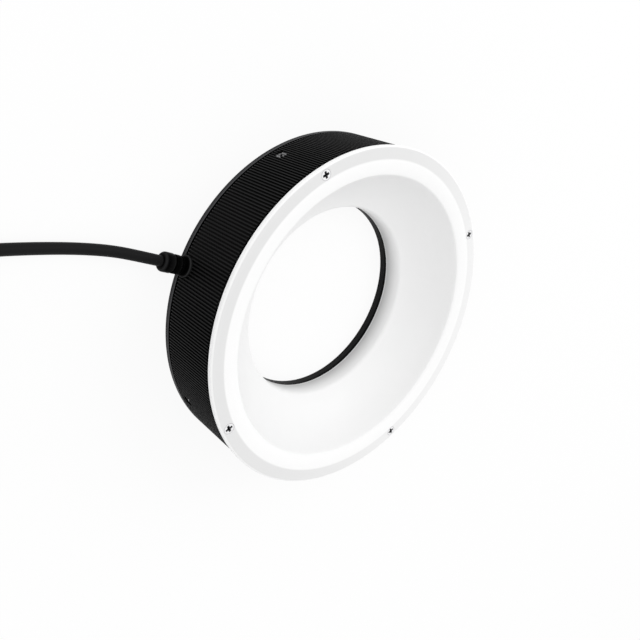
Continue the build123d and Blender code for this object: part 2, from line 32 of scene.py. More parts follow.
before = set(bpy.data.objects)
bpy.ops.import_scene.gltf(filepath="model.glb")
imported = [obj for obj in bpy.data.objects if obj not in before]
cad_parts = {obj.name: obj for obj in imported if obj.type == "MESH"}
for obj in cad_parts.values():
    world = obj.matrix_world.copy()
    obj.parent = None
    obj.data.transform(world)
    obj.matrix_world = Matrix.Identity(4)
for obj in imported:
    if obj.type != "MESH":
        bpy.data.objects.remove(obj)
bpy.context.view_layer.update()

from math import cos, hypot, pi, radians, sin

import bmesh
import bpy
import numpy as np
from bpy.props import FloatProperty, FloatVectorProperty, IntProperty, PointerProperty
from mathutils import Matrix

MM = 0.001
BODY = "root"

# Sizes in millimetres and angles in degrees, most of them those of the solids
HOUSING_RADIUS = 74.5
WALL_INSIDE = 71.5
LAND_RADIUS = 69.5
LAND_TOP = 32.0
LAND_BOTTOM = 24.0
EDGE_CHAMFER = 0.3
RIM_HEIGHT = 2.4
RELIEF_RADIUS = 73.8
RIB_START = 3.4
RIB_END = 30.4
RIB_CREST_WIDTH = 0.5
RIB_CHAMFER = 0.07
BORE_RADIUS = 44.0
FRONT = 34.0
FLANGE_RADIUS = 75.0
FLANGE_ROUND = 0.8
FLANGE_UNDER_ROUND = 0.2
CREASE = (62.8, 32.95)
NECK_TOP = 13.2
NECK_ROUND = 1.8
BOWL_SAG = 3.1
BOWL_WALL = 2.0
FOOT_RADIUS = 47.0
FOOT_INSIDE = 45.3
FOOT_BOTTOM = 3.6
LIP_TOP = 4.5
SCREW_CIRCLE = 71.75
SCREW_ANGLES = np.radians([45.0, 135.0, 225.0, 315.0])  # kept in radians
SIDE_SCREW_HEIGHT = 7.8
SIDE_SCREW_SEAT = 73.9
SCREW_CORE = 1.03
SCREW_CLEARANCE = 1.4
SCREW_LENGTH = 6.0
THREAD_GAP = 0.02
TAPPED_DEPTH = 5.5
HEAD_RADIUS = 2.25
HEAD_GAP = 0.1
HEAD_SINK = 0.08
RECESS_REACH = 1.45
RECESS_HALF_WIDTH = 0.46
RECESS_TAPER = 0.06
RECESS_DEPTH = 1.0
GLAND_AXIS = (0.0, 0.0, 5.0)
GLAND_SEAT = 73.8
SHANK_RADIUS = 3.0
COLLAR_RADIUS = 4.35
GLAND_GAP = 0.1
# Corners of the gland's outline: radius, distance out from the seat, and the corner's round
GLAND_OUTLINE = (
    (2.2, -3.6, 0.2),
    (3.7, -3.6, 0.4),
    (3.7, -2.5, 0.3),
    (SHANK_RADIUS, -2.5, 0.1),
    (SHANK_RADIUS, 0.0, 0.1),
    (COLLAR_RADIUS, 0.0, 0.3),
    (COLLAR_RADIUS, 1.7, 0.55),
    (3.62, 1.7, 0.15),
    (3.62, 3.6, 0.3),
    (3.05, 3.65, 0.15),
    (3.05, 4.25, 0.15),
    (3.66, 4.3, 0.35),
    (3.66, 6.45, 0.35),
    (3.05, 6.5, 0.15),
    (3.05, 7.1, 0.15),
    (3.8, 7.2, 0.6),
    (3.8, 11.8, 1.45),
    (2.2, 11.8, 0.1),
)
# Painted highlights on the gland's edges: radius, distance out from the seat, reach and strength
GLAND_PAINTED_HIGHLIGHTS = (
    (COLLAR_RADIUS, 1.35, 0.5, 1.0),
    (3.66, 4.4, 0.25, 1.0),
    (3.8, 7.5, 0.3, 1.0),
    (3.4, 11.2, 0.8, 0.6),
)
CORD_RADIUS = 2.15
COIL_CENTRE = np.array([-165.9, -45.5])
COIL_START_ANGLE = 107.4
COIL_QUARTERS = 9
CLIMB_QUARTER = 5
COIL_INNER_RADIUS = 21.5
COIL_STEP = 1.22
COIL_LOW = 2.75
COIL_HIGH = 7.5
COIL_POINTS = 6  # control points in each quarter turn
TIE_QUARTER = 3
TIE_GAP = 0.15
TIE_THICKNESS = 0.42
TIE_WIDTH = 3.0
TIE_HEAD = (2.4, 4.2, 3.4)  # out from the coil, upright and along the cord
LEAD_LAST_RUN = 14.0
TAIL_FIRST_RUN = 8.6
LEAD_ROUTE = (
    (-85.6, 0.0, 5.0),
    (-93.5, 0.0, 5.0),
    (-103.5, -0.6, 3.0),
    (-115.5, -2.5, 2.15),
    (-128.7, -5.3, 2.15),
    (-143.2, -9.05, 2.15),
)
TAIL_ROUTE = (
    (-182.7, -73.6, 5.6),
    (-175.8, -79.6, 3.5),
    (-167.4, -83.4, 2.8),
    (-158.3, -84.7, 2.8),
    (-149.8, -84.7, 2.8),
)
TAIL_END = np.array(TAIL_ROUTE[-1])
SLEEVE_ON_JACKET = 4.0
SLEEVE_PAST_JACKET = 3.0
SLEEVE_WALL = 0.4
SLEEVE_INSIDE = CORD_RADIUS + 0.05
SLEEVE_MOUTH = (1.78, 0.85)  # half of its width and of its height inside, at the wires
WIRE_RADIUS = 0.74
WIRE_SPACING = 1.9  # between the wires' middles at the jacket's end
WIRE_PITCH = 2.5  # between them in the plug
WIRE_RUN = 14.0
WIRE_SAG = 0.25

# The photograph's viewpoint: place, direction, turn about it and lens
CAMERA_PLACE = (-221.63, 43.58, 211.36)
CAMERA_HEADING = -5.0
CAMERA_PITCH = -44.5312
CAMERA_ROLL = 114.5359
CAMERA_SENSOR = 36.0
CAMERA_LENS = 37.781
CAMERA_SHIFT = -0.12757


# Settings


def colour_setting(name, description, default):
    """A colour that the panel shows as a swatch."""
    return FloatVectorProperty(
        name=name, description=description, subtype="COLOR", size=3, min=0, max=1, default=default
    )


class HousingSettings(bpy.types.PropertyGroup):
    colour: colour_setting(
        "Anodised colour", "Dye of the anodised housing and cover", (0.015, 0.015, 0.0155)
    )
    rib_count: IntProperty(
        name="Ribs", description="Axial ribs round the housing", default=360, min=60, max=400
    )
    rib_depth: FloatProperty(
        name="Rib depth",
        description="Height of a rib over the valleys beside it",
        subtype="DISTANCE",
        default=0.5 * MM,
        min=0.1 * MM,
        max=0.8 * MM,
    )


class DiffuserSettings(bpy.types.PropertyGroup):
    colour: colour_setting("Opal colour", "Colour of the opal moulding", (0.92, 0.92, 0.92))
    land_shade: colour_setting(
        "Flange over the land",
        "Colour of the flange where the black land lies beneath it",
        (0.785, 0.785, 0.785),
    )


class CordSettings(bpy.types.PropertyGroup):
    diameter: FloatProperty(
        name="Cord diameter",
        description="Outer diameter of the round cord",
        subtype="DISTANCE",
        default=2 * CORD_RADIUS * MM,
        min=2 * MM,
        max=5 * MM,
    )
    colour: colour_setting(
        "Jacket colour", "Colour of the cord's jacket and of the gland", (0.008, 0.008, 0.0083)
    )


class StageSettings(bpy.types.PropertyGroup):
    floor_colour: colour_setting(
        "Floor colour", "Colour of the plain pale floor", (0.94, 0.94, 0.94)
    )
    sky_level: FloatProperty(
        name="Room level", description="Light from the white room all round", default=0.84, min=0
    )
    key_power: FloatProperty(
        name="Key lamp",
        description="Power of the large soft lamp",
        subtype="POWER",
        default=3.9,
        min=0,
    )


# Materials


class Link:
    """An output socket of a material; arithmetic on it adds Math nodes."""

    def __init__(self, finish, socket):
        self.finish = finish
        self.socket = socket

    def maths(self, operation, *terms):
        return self.finish.add("ShaderNodeMath", {"operation": operation}, dict(enumerate(terms)))

    def __add__(self, other):
        return self.maths("ADD", self, other)

    def __rsub__(self, other):
        return self.maths("SUBTRACT", other, self)

    def __mul__(self, other):
        return self.maths("MULTIPLY", self, other)

    def __pow__(self, other):
        return self.maths("POWER", self, other)

    __radd__ = __add__
    __rmul__ = __mul__

    def ramp(self, low, high):
        """0 below low, 1 above high, with a smooth step between them."""
        return self.finish.add(
            "ShaderNodeMapRange",
            {"interpolation_type": "SMOOTHSTEP"},
            {"Value": self, "From Min": low, "From Max": high},
        )


class Finish:
    """A material whose Principled shader has fixed sockets and a few linked ones."""

    def __init__(self, name, **fixed):
        self.material = bpy.data.materials.new(name)
        self.material.use_nodes = True
        self.tree = self.material.node_tree
        self.tree.nodes.clear()
        self.surface = self.tree.nodes.new("ShaderNodeBsdfPrincipled")
        for key, value in fixed.items():
            self.surface.inputs[key.replace("_", " ")].default_value = value
        out = self.tree.nodes.new("ShaderNodeOutputMaterial")
        self.tree.links.new(self.surface.outputs[0], out.inputs["Surface"])
        self.place = self.add("ShaderNodeTexCoord", out="Object")

    def add(self, kind, settings=(), sockets=(), out=0):
        """Adds a node: its settings first, then values or links of its sockets."""
        node = self.tree.nodes.new(kind)
        for key, value in dict(settings).items():
            setattr(node, key, value)
        for key, value in dict(sockets).items():
            if isinstance(value, Link):
                self.tree.links.new(value.socket, node.inputs[key])
            else:
                node.inputs[key].default_value = value
        return Link(self, node.outputs[out])

    def link(self, socket, value):
        self.tree.links.new(value.socket, self.surface.inputs[socket])

    def noise(self, size, detail=2.0, roughness=0.5):
        """Noise from 0 to 1 whose blobs are about size millimetres wide."""
        sockets = {"Scale": 1 / (size * MM), "Detail": detail, "Roughness": roughness}
        return self.add("ShaderNodeTexNoise", {}, {"Vector": self.place, **sockets})

    def axes(self):
        """The three Object coordinates in millimetres."""
        split = self.add("ShaderNodeSeparateXYZ", {}, {"Vector": self.place})
        return [Link(self, split.socket.node.outputs[index]) * (1 / MM) for index in range(3)]

    def waves(self, distance, pitch):
        """Sine of a distance, with one wave for each pitch."""
        phase = distance * (2 * pi / pitch)
        return self.add("ShaderNodeMath", {"operation": "SINE"}, {0: phase})

    def attribute(self, name):
        return self.add("ShaderNodeAttribute", {"attribute_name": name}, out="Fac")

    def blend(self, factor, first, second):
        """Colour between first and second."""
        colours = [
            value if isinstance(value, Link) else (*tuple(value)[:3], 1.0)
            for value in (first, second)
        ]
        sockets = {0: factor, 6: colours[0], 7: colours[1]}
        return self.add("ShaderNodeMix", {"data_type": "RGBA"}, sockets, out=2)

    def bump(self, height, depth, strength=1.0):
        """Links a Bump node whose height of 1 stands for depth millimetres."""
        sockets = {"Strength": strength, "Distance": depth * MM, "Height": height}
        self.link("Normal", self.add("ShaderNodeBump", {}, sockets))


def lighter(colour, factor):
    """The colour times factor, kept within 1."""
    return tuple(min(1.0, part * factor) for part in tuple(colour)[:3])


def anodised_finish(name, colour, painted_shade_above=FRONT):
    """Dyed anodised aluminium: fine blasted grain, faint turning lines, wear on the rib edges,
    painted shade in the valleys and grooves, a painted highlight on the turned band, and painted
    shade above a height in millimetres."""
    finish = Finish(name, Specular_IOR_Level=0.035)
    z = finish.axes()[2]
    drift = finish.noise(14, 3.0)
    grain = finish.noise(0.16, 2.0)
    lines = finish.waves(z, 0.22)
    scuffs = finish.noise(1.9, 6.0, 0.7).ramp(0.62, 0.74)
    wear = finish.attribute("edge") * scuffs
    dyed = finish.blend(drift, lighter(colour, 0.8), lighter(colour, 1.3))
    # Painted highlight: the turned mark lightens the rim band and the rib ends
    dyed = finish.blend(finish.attribute("turned"), dyed, lighter(colour, 5.0))
    # Painted shade: the valley mark darkens the rib valleys, chamfers and grooves to near black
    dyed = finish.blend(finish.attribute("valley"), dyed, lighter(colour, 0.05))
    # Painted shade above the given height
    dyed = finish.blend(z.ramp(painted_shade_above, painted_shade_above + 0.3), dyed, lighter(colour, 0.1))
    finish.link("Base Color", finish.blend(wear * 0.4, dyed, (0.07, 0.07, 0.072)))
    finish.link("Roughness", 0.36 + drift * 0.08 + grain * 0.1)
    finish.bump(grain + lines * 0.25, 0.004)
    return finish.material


def opal_finish(name, colour, land_shade):
    """Opal moulding: slow haze, a painted highlight outside the crease, and darker where black
    metal lies close behind it, at the cover beneath the neck (deepened there by painted shade
    towards the neck's foot, with a painted highlight on its bottom edge) and at the land beneath
    the flange. The flange's shade over the land fades towards +X as painted light."""
    finish = Finish(
        name,
        Specular_IOR_Level=0.45,
        Subsurface_Weight=0.12,
        Subsurface_Radius=(1.0, 1.0, 1.0),
        Subsurface_Scale=1.2 * MM,
    )
    x, y, z = finish.axes()
    radius = (x * x + y * y) ** 0.5
    haze = finish.noise(22, 4.0, 0.55)
    specks = finish.noise(0.7, 1.0).ramp(0.78, 0.86)
    # Darker towards the neck's foot: partly the black cover behind the thin opal, partly painted
    # shade; the next factor keeps a painted highlight on the bottom edge
    depth = 1 - z.ramp(LIP_TOP - 2, NECK_TOP)
    neck_foot_painted_highlight = 0.4 + 0.6 * z.ramp(LIP_TOP, LIP_TOP + 0.9)
    cover_behind_and_painted_shade = depth * neck_foot_painted_highlight * (1 - radius.ramp(FOOT_RADIUS, FOOT_RADIUS + 3))
    # Painted highlight: paler outside the crease, on the up-facing shoulder and flange
    outside_crease_painted_light = radius.ramp(CREASE[0] - 1, CREASE[0] + 1.5)
    over_land = radius.ramp(LAND_RADIUS - 0.5, LAND_RADIUS + 0.4)
    side = radius.ramp(FLANGE_RADIUS - 0.95, FLANGE_RADIUS - 0.35)
    moulded = finish.blend(haze * 0.5, colour, lighter(colour, 0.955))
    moulded = finish.blend(outside_crease_painted_light, moulded, lighter(colour, 1.06))
    moulded = finish.blend(cover_behind_and_painted_shade, moulded, lighter(colour, 0.45))
    moulded = finish.blend(specks * 0.25, moulded, lighter(colour, 0.8))
    # Painted light: the flange's shade over the land grows paler towards +X
    thick = x.ramp(-0.3 * FLANGE_RADIUS, FLANGE_RADIUS)
    shaded = finish.blend(haze * 0.35, land_shade, lighter(land_shade, 1.04))
    shaded = finish.blend(thick, shaded, lighter(land_shade, 1.13))
    finish.link("Base Color", finish.blend(over_land * (1 - side), moulded, shaded))
    finish.link("Roughness", 0.36 + haze * 0.16)
    fine = finish.noise(0.35, 3.0)
    finish.bump(fine * 0.3 + finish.noise(6, 2.0), 0.02, 0.6)
    return finish.material


def steel_finish(name, colour, edge_wear_and_painted_light, roughness):
    """Plated screw steel: dull speckle, painted shade in the recess, and another colour on the
    edges that stands for wear and painted light.
    """
    finish = Finish(name, Metallic=1.0)
    recess = finish.attribute("recess")
    edge = finish.attribute("edge")
    speckle = finish.noise(0.25, 4.0, 0.6)
    stain = finish.noise(1.4, 3.0)
    plated = finish.blend(stain * 0.6, colour, lighter(colour, 0.72))
    # Edge colour: wear together with painted light, a shadow line on zinc and glints on black
    # oxide
    plated = finish.blend(edge * (1 - stain * 0.6), plated, edge_wear_and_painted_light)
    # Painted shade: the recess is near black
    finish.link("Base Color", finish.blend(recess, plated, (0.01, 0.01, 0.011)))
    finish.link("Roughness", roughness + speckle * 0.16 + recess * 0.25)
    finish.bump(speckle, 0.01, 0.5)
    return finish.material


def moulded_finish(name, colour, roughness=0.45, grain=0.2, depth=0.01, gloss=0.42):
    """Moulded plastic or rubber: fine spark grain, slow drift of colour and gloss, dust, and a
    painted highlight, paler skin, wherever the mesh marks an edge."""
    finish = Finish(name, Specular_IOR_Level=gloss)
    slow = finish.noise(9, 3.0)
    fine = finish.noise(grain, 3.0, 0.6)
    dust = finish.noise(1.1, 5.0, 0.7).ramp(0.66, 0.8)
    tinted = finish.blend(slow, lighter(colour, 0.85), lighter(colour, 1.2))
    pale = tuple(0.8 * part + 0.03 for part in colour)
    skin = finish.blend(dust * 0.35, tinted, pale)
    # Painted highlight on the edges that the mesh marks
    painted_edge_highlight = finish.attribute("edge") * (0.6 + slow * 0.4)
    finish.link("Base Color", finish.blend(painted_edge_highlight, skin, (0.05, 0.05, 0.051)))
    finish.link("Roughness", (roughness - 0.06) + slow * 0.08 + fine * 0.07)
    finish.bump(fine, depth)
    return finish.material


def board_finish(name, colour):
    """White solder mask with faint copper areas showing as slightly raised lands."""
    finish = Finish(name, Roughness=0.42)
    lands = finish.add(
        "ShaderNodeTexVoronoi", {"distance": "MANHATTAN"}, {"Vector": finish.place, "Scale": 130.0}
    )
    traces = lands.ramp(0.28, 0.33)
    slow = finish.noise(8, 2.0)
    masked = finish.blend(traces * 0.25 + slow * 0.2, colour, lighter(colour, 0.9))
    finish.link("Base Color", masked)
    finish.bump(traces, 0.03, 0.6)
    return finish.material


def lens_finish(name, colour):
    """Silicone over yellow phosphor, with the powder's grain beneath a glossy skin."""
    finish = Finish(name, Coat_Weight=0.7, Coat_Roughness=0.08)
    powder = finish.noise(0.12, 3.0)
    finish.link("Base Color", finish.blend(powder, lighter(colour, 0.86), lighter(colour, 1.1)))
    finish.link("Roughness", 0.45 + powder * 0.2)
    finish.bump(powder, 0.01)
    return finish.material


def contact_finish(name, colour):
    """Tin-plated spring contact with fine drawing lines."""
    finish = Finish(name, Metallic=1.0)
    dull = finish.noise(0.8, 4.0)
    finish.link("Base Color", finish.blend(dull, colour, lighter(colour, 0.7)))
    finish.link("Roughness", 0.28 + dull * 0.2)
    finish.bump(finish.waves(finish.axes()[1], 0.09), 0.003)
    return finish.material


# Surfaces


def spots(x, y, z):
    """One array of points out of coordinates that broadcast together."""
    return np.stack(np.broadcast_arrays(x, y, z), axis=-1).reshape(-1, 3)


def eased(share):
    """Smooth step from 0 to 1: three times the square less twice the cube."""
    return share**2 * (3 - 2 * share)


def grid_faces(rows, columns, wrap_rows=False, wrap_columns=False):
    """Four-sided faces between neighbouring points of a rows by columns grid."""
    row = np.arange(rows if wrap_rows else rows - 1)[:, None]
    column = np.arange(columns if wrap_columns else columns - 1)[None, :]
    next_row = (row + 1) % rows
    next_column = (column + 1) % columns
    corners = [
        row * columns + column,
        next_row * columns + column,
        next_row * columns + next_column,
        row * columns + next_column,
    ]
    return np.stack(np.broadcast_arrays(*corners), axis=-1).reshape(-1, 4)


def joined(*shells):
    """One pair of point and face arrays out of several."""
    starts = np.cumsum([0] + [len(points) for points, _ in shells[:-1]])
    points = np.concatenate([points for points, _ in shells])
    faces = np.concatenate([faces + start for (_, faces), start in zip(shells, starts)])
    return points, faces


def placed(shell, origin, side, axis):
    """Turns and moves a shell: its X goes along side and its Z along axis."""
    points, faces = shell
    side, axis = np.array(side, float), np.array(axis, float)
    turn = np.stack([side, np.cross(axis, side), axis])
    return points @ turn + np.array(origin, float), faces


def round_corners(corners, radii, steps=5):
    """Closed outline with an arc at each corner. The arc touches both sides at the radius
    divided by the tangent of half the inner angle, and its points are the rational Bezier
    curve through those touching points whose middle weight is the sine of that half angle."""
    corners = np.array(corners, float)
    radii = np.broadcast_to(np.array(radii, float), len(corners))[:, None]
    back = np.roll(corners, 1, axis=0) - corners
    forth = np.roll(corners, -1, axis=0) - corners
    back /= np.linalg.norm(back, axis=1, keepdims=True)
    forth /= np.linalg.norm(forth, axis=1, keepdims=True)
    half = np.arccos(np.clip((back * forth).sum(axis=1, keepdims=True), -1, 1)) / 2
    reach = radii / np.tan(half)
    step = np.linspace(0, 1, steps + 1)[None, :, None]
    weight = np.sin(half)[:, :, None]
    first, middle, last = (
        point[:, None, :] for point in (corners + back * reach, corners, corners + forth * reach)
    )
    low, mid, high = (1 - step) ** 2, 2 * weight * step * (1 - step), step**2
    outline = (low * first + mid * middle + high * last) / (low + mid + high)
    outline = outline.reshape(-1, 2)
    apart = np.linalg.norm(outline - np.roll(outline, 1, axis=0), axis=1)
    return outline[apart > 1e-5]


def arc(centre, radius, start, end, steps):
    """Points on a circle from one angle to another, in radians."""
    angle = np.linspace(start, end, steps + 1)
    return np.stack([centre[0] + radius * np.cos(angle), centre[1] + radius * np.sin(angle)], 1)


def turned(outline, count):
    """Closed surface of revolution about Z: the point at angle a and outline place (r, z) is
    (r cos a, r sin a, z). The outline is put in counter-clockwise order first, by the sign of
    its enclosed area, so that faces point outwards."""
    outline = np.array(outline, float)
    following = np.roll(outline, -1, axis=0)
    area = (outline[:, 0] * following[:, 1] - following[:, 0] * outline[:, 1]).sum()
    outline = outline if area > 0 else outline[::-1]
    angle = np.arange(count)[:, None] * (2 * pi / count)
    radius, height = outline[None, :, 0], outline[None, :, 1]
    points = spots(radius * np.cos(angle), radius * np.sin(angle), height)
    return points, grid_faces(count, len(outline), True, True)


def tube(path, radius, sides):
    """Round tube along a path that stays nearly level: at each path point a circle of the
    given radius in the plane of the path's normal and the upright direction, with both ends
    closed by a fan that shrinks to the path's own end point."""
    way = np.gradient(path, axis=0)
    way /= np.linalg.norm(way, axis=1, keepdims=True)
    across = np.cross(way, [0, 0, 1])
    across /= np.linalg.norm(across, axis=1, keepdims=True)
    up = np.cross(across, way)
    angle = (np.arange(sides) * (2 * pi / sides))[None, :, None]
    ring = np.cos(angle) * across[:, None] + np.sin(angle) * up[:, None]
    reach = np.full((len(path) + 2, 1, 1), float(radius))
    reach[[0, -1]] = 0
    spine = np.concatenate([path[:1], path, path[-1:]])[:, None, :]
    ring = np.concatenate([ring[:1], ring, ring[-1:]])
    points = spine + ring * reach
    return points.reshape(-1, 3), grid_faces(len(path) + 2, sides, False, True)


def make_mesh(name, shell, attributes=(), scale=MM):
    """Puts point and face arrays into a mesh, merges the poles and drops empty faces."""
    points, faces = shell
    mesh = bpy.data.meshes.new(name)
    mesh.vertices.add(len(points))
    mesh.vertices.foreach_set("co", (points * scale).astype(np.float32).ravel())
    mesh.loops.add(faces.size)
    mesh.loops.foreach_set("vertex_index", faces.astype(np.int32).ravel())
    mesh.polygons.add(len(faces))
    mesh.polygons.foreach_set("loop_start", np.arange(0, faces.size, 4, dtype=np.int32))
    mesh.update(calc_edges=True)
    for key, values in dict(attributes).items():
        layer = mesh.attributes.new(key, "FLOAT", "POINT")
        layer.data.foreach_set("value", values.astype(np.float32).ravel())
    work = bmesh.new()
    work.from_mesh(mesh)
    bmesh.ops.remove_doubles(work, verts=work.verts, dist=1e-7)
    bmesh.ops.dissolve_degenerate(work, edges=work.edges, dist=1e-7)
    work.to_mesh(mesh)
    work.free()
    return mesh


def make_piece(name, mesh, material, nodes=(), sharp=32.0):
    """Shows a mesh as a piece on the light's body, in place of the named solids."""
    mesh.polygons.foreach_set("use_smooth", np.ones(len(mesh.polygons), dtype=bool))
    mesh.set_sharp_from_angle(angle=radians(sharp))
    mesh.materials.clear()
    mesh.materials.append(material)
    piece = bpy.data.objects.new(name, mesh)
    bpy.context.scene.collection.objects.link(piece)
    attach(piece, BODY)
    if nodes:
        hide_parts(*nodes)
    return piece


def cut(mesh, cutter):
    """The mesh without what lies inside the cutter."""
    target = bpy.data.objects.new("cut_target", mesh)
    tool = bpy.data.objects.new("cut_tool", cutter)
    for thing in (target, tool):
        bpy.context.scene.collection.objects.link(thing)
    modifier = target.modifiers.new("cut", "BOOLEAN")
    modifier.operation = "DIFFERENCE"
    modifier.solver = "EXACT"
    modifier.object = tool
    bpy.context.view_layer.update()
    evaluated = target.evaluated_get(bpy.context.evaluated_depsgraph_get())
    result = bpy.data.meshes.new_from_object(evaluated)
    result.name = mesh.name
    bpy.data.objects.remove(target)
    bpy.data.objects.remove(tool)
    return result


def dress(node, material):
    """Gives a CAD node that stays in view its finish."""
    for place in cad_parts[node].material_slots:
        place.material = material


def bar(radius, low, high, sides=48):
    """Plain round bar along Z, for cutting holes."""
    return turned([(0, low), (radius, low), (radius, high), (0, high)], sides)


# Pieces


def coil_place(quarter, widen=1.0):
    """Place in the coil after some quarter turns: the radius falls and rises again at a
    steady rate about the climb, and the height follows a smooth step through the climb."""
    quarter = np.asarray(quarter, float)
    radius = (COIL_INNER_RADIUS + COIL_STEP * np.abs(quarter - CLIMB_QUARTER)) * widen
    angle = np.radians(COIL_START_ANGLE + 90 * quarter)
    climbed = np.clip((quarter - CLIMB_QUARTER + 1) / 2, 0, 1)
    height = COIL_LOW + (COIL_HIGH - COIL_LOW) * eased(climbed)
    x, y = COIL_CENTRE[0] + radius * np.cos(angle), COIL_CENTRE[1] + radius * np.sin(angle)
    return np.stack([x, y, height], axis=-1)


def coil_way(quarter, drift):
    """Direction of the cord at the coil's start or end, drift being the radius it gains."""
    radius = COIL_INNER_RADIUS + COIL_STEP * abs(quarter - CLIMB_QUARTER)
    angle = radians(COIL_START_ANGLE + 90 * quarter)
    along = radius * pi / 2
    way = drift * np.array([cos(angle), sin(angle), 0])
    way += along * np.array([-sin(angle), cos(angle), 0])
    return way / np.linalg.norm(way)


def cord_route():
    """Control points of the whole cord from the gland to the plug. A spline of order 3 passes
    a control point at three quarters of it and a quarter of the middle between its
    neighbours, so the coil's control points stand that much outside its radius."""
    widen = 1 / (0.75 + 0.25 * cos(pi / 2 / COIL_POINTS))
    wound = coil_place(np.linspace(0, COIL_QUARTERS, COIL_POINTS * COIL_QUARTERS + 1), widen)
    first_way = coil_way(0, -COIL_STEP)
    last_way = coil_way(COIL_QUARTERS, COIL_STEP)
    start = coil_place(0) - first_way * 2 * CORD_RADIUS
    end = coil_place(COIL_QUARTERS) + last_way * 2 * CORD_RADIUS
    lead = [*LEAD_ROUTE, start - first_way * LEAD_LAST_RUN, start]
    tail = [end, end + last_way * TAIL_FIRST_RUN, *TAIL_ROUTE]
    return np.concatenate([lead, wound, tail])


class RING_OT_stage(bpy.types.Operator):
    """Sets up the floor, the white room, the lamps and the camera"""

    bl_idname = "ring_light.stage"
    bl_label = "Stage"

    def execute(self, context):
        scene = context.scene
        settings = scene.ring_stage
        scene.view_settings.view_transform = "Standard"
        self.floor(settings)
        self.room(scene, settings)
        self.lamps(settings)
        self.camera(scene)
        return {"FINISHED"}

    def floor(self, settings):
        """Level floor; a camera, mirror or glass ray sees most of it as plain white."""
        reach, level = np.array([-4000.0, 4000.0]), -0.02
        mesh = make_mesh("floor", (spots(reach[:, None], reach, level), grid_faces(2, 2)))
        material = bpy.data.materials.new("floor_paper")
        material.use_nodes = True
        paper, glow = mixed_by_rays(
            material.node_tree,
            ("ShaderNodeBsdfDiffuse", "ShaderNodeEmission", "ShaderNodeOutputMaterial"),
            0.9,
        )
        paper.inputs["Color"].default_value = (*settings.floor_colour, 1)
        glow.inputs["Color"].default_value = (1, 1, 1, 1)
        mesh.materials.append(material)
        floor = bpy.data.objects.new("floor", mesh)
        bpy.context.scene.collection.objects.link(floor)

    def room(self, scene, settings):
        """White room: plain white to the camera, dimmer as a light."""
        world = bpy.data.worlds.new("white_room")
        world.use_nodes = True
        light, seen = mixed_by_rays(
            world.node_tree,
            ("ShaderNodeBackground", "ShaderNodeBackground", "ShaderNodeOutputWorld"),
            1.0,
        )
        for background, strength in ((seen, 1.0), (light, settings.sky_level)):
            background.inputs["Color"].default_value = (1, 1, 1, 1)
            background.inputs["Strength"].default_value = strength
        scene.world = world

    def lamps(self, settings):
        """A large soft key lamp on the +Y side and a weaker one over the cord."""
        for name, place, size, power in (
            ("key_lamp", (0.55, 0.82, 0.95), 0.9, settings.key_power),
            ("fill_lamp", (-0.9, 0.45, 0.8), 0.5, settings.key_power * 0.3),
        ):
            lamp = bpy.data.lights.new(name, "AREA")
            lamp.shape = "DISK"
            lamp.size = size
            lamp.energy = power
            thing = bpy.data.objects.new(name, lamp)
            place = np.array(place)
            aim = place / np.linalg.norm(place)
            side = np.cross([0, 0, 1], aim)
            side /= np.linalg.norm(side)
            stand(thing, place, side, aim)

    def camera(self, scene):
        """The photograph's viewpoint, with the view shifted down a little. Heading and pitch
        give the forward direction, and the level direction to its right turns by the roll."""
        heading, pitch, roll = np.radians([CAMERA_HEADING, CAMERA_PITCH, CAMERA_ROLL])
        level = np.array([sin(heading), -cos(heading), 0])
        ahead = np.array([cos(pitch) * cos(heading), cos(pitch) * sin(heading), sin(pitch)])
        right = cos(roll) * level + sin(roll) * np.cross(level, ahead)
        lens = bpy.data.cameras.new("photo_camera")
        lens.sensor_fit = "HORIZONTAL"
        lens.sensor_width = CAMERA_SENSOR
        lens.lens = CAMERA_LENS
        lens.shift_y = CAMERA_SHIFT
        lens.clip_start = 0.01
        lens.clip_end = 20.0
        camera = bpy.data.objects.new("photo_camera", lens)
        stand(camera, np.array(CAMERA_PLACE) * MM, right, -ahead)
        scene.camera = camera


def stand(thing, place, side, back):
    """Puts an object at a place with its X along side and its Z along back."""
    turn = Matrix(np.stack([side, np.cross(back, side), back], axis=1).tolist()).to_4x4()
    thing.matrix_world = Matrix.Translation(place.tolist()) @ turn
    bpy.context.scene.collection.objects.link(thing)


def mixed_by_rays(tree, kinds, share):
    """Makes a light's shader, a seen shader and an output of the given kinds, mixed so that
    camera, mirror and glass rays meet that share of the seen one. Gives both shaders."""
    tree.nodes.clear()
    light, seen, out = (tree.nodes.new(kind) for kind in kinds)
    mix = tree.nodes.new("ShaderNodeMixShader")
    tree.links.new(seen_rays(tree, share), mix.inputs["Fac"])
    tree.links.new(light.outputs[0], mix.inputs[1])
    tree.links.new(seen.outputs[0], mix.inputs[2])
    tree.links.new(mix.outputs[0], out.inputs["Surface"])
    return light, seen


def seen_rays(tree, share):
    """Socket that is share for camera, mirror and glass rays and 0 for all others."""
    path = tree.nodes.new("ShaderNodeLightPath")
    total = None
    for name in ("Is Camera Ray", "Is Glossy Ray", "Is Transmission Ray"):
        if total is None:
            total = path.outputs[name]
            continue
        add = tree.nodes.new("ShaderNodeMath")
        add.operation = "MAXIMUM"
        tree.links.new(total, add.inputs[0])
        tree.links.new(path.outputs[name], add.inputs[1])
        total = add.outputs[0]
    scale = tree.nodes.new("ShaderNodeMath")
    scale.operation = "MULTIPLY"
    scale.inputs[1].default_value = share
    tree.links.new(total, scale.inputs[0])
    return scale.outputs[0]


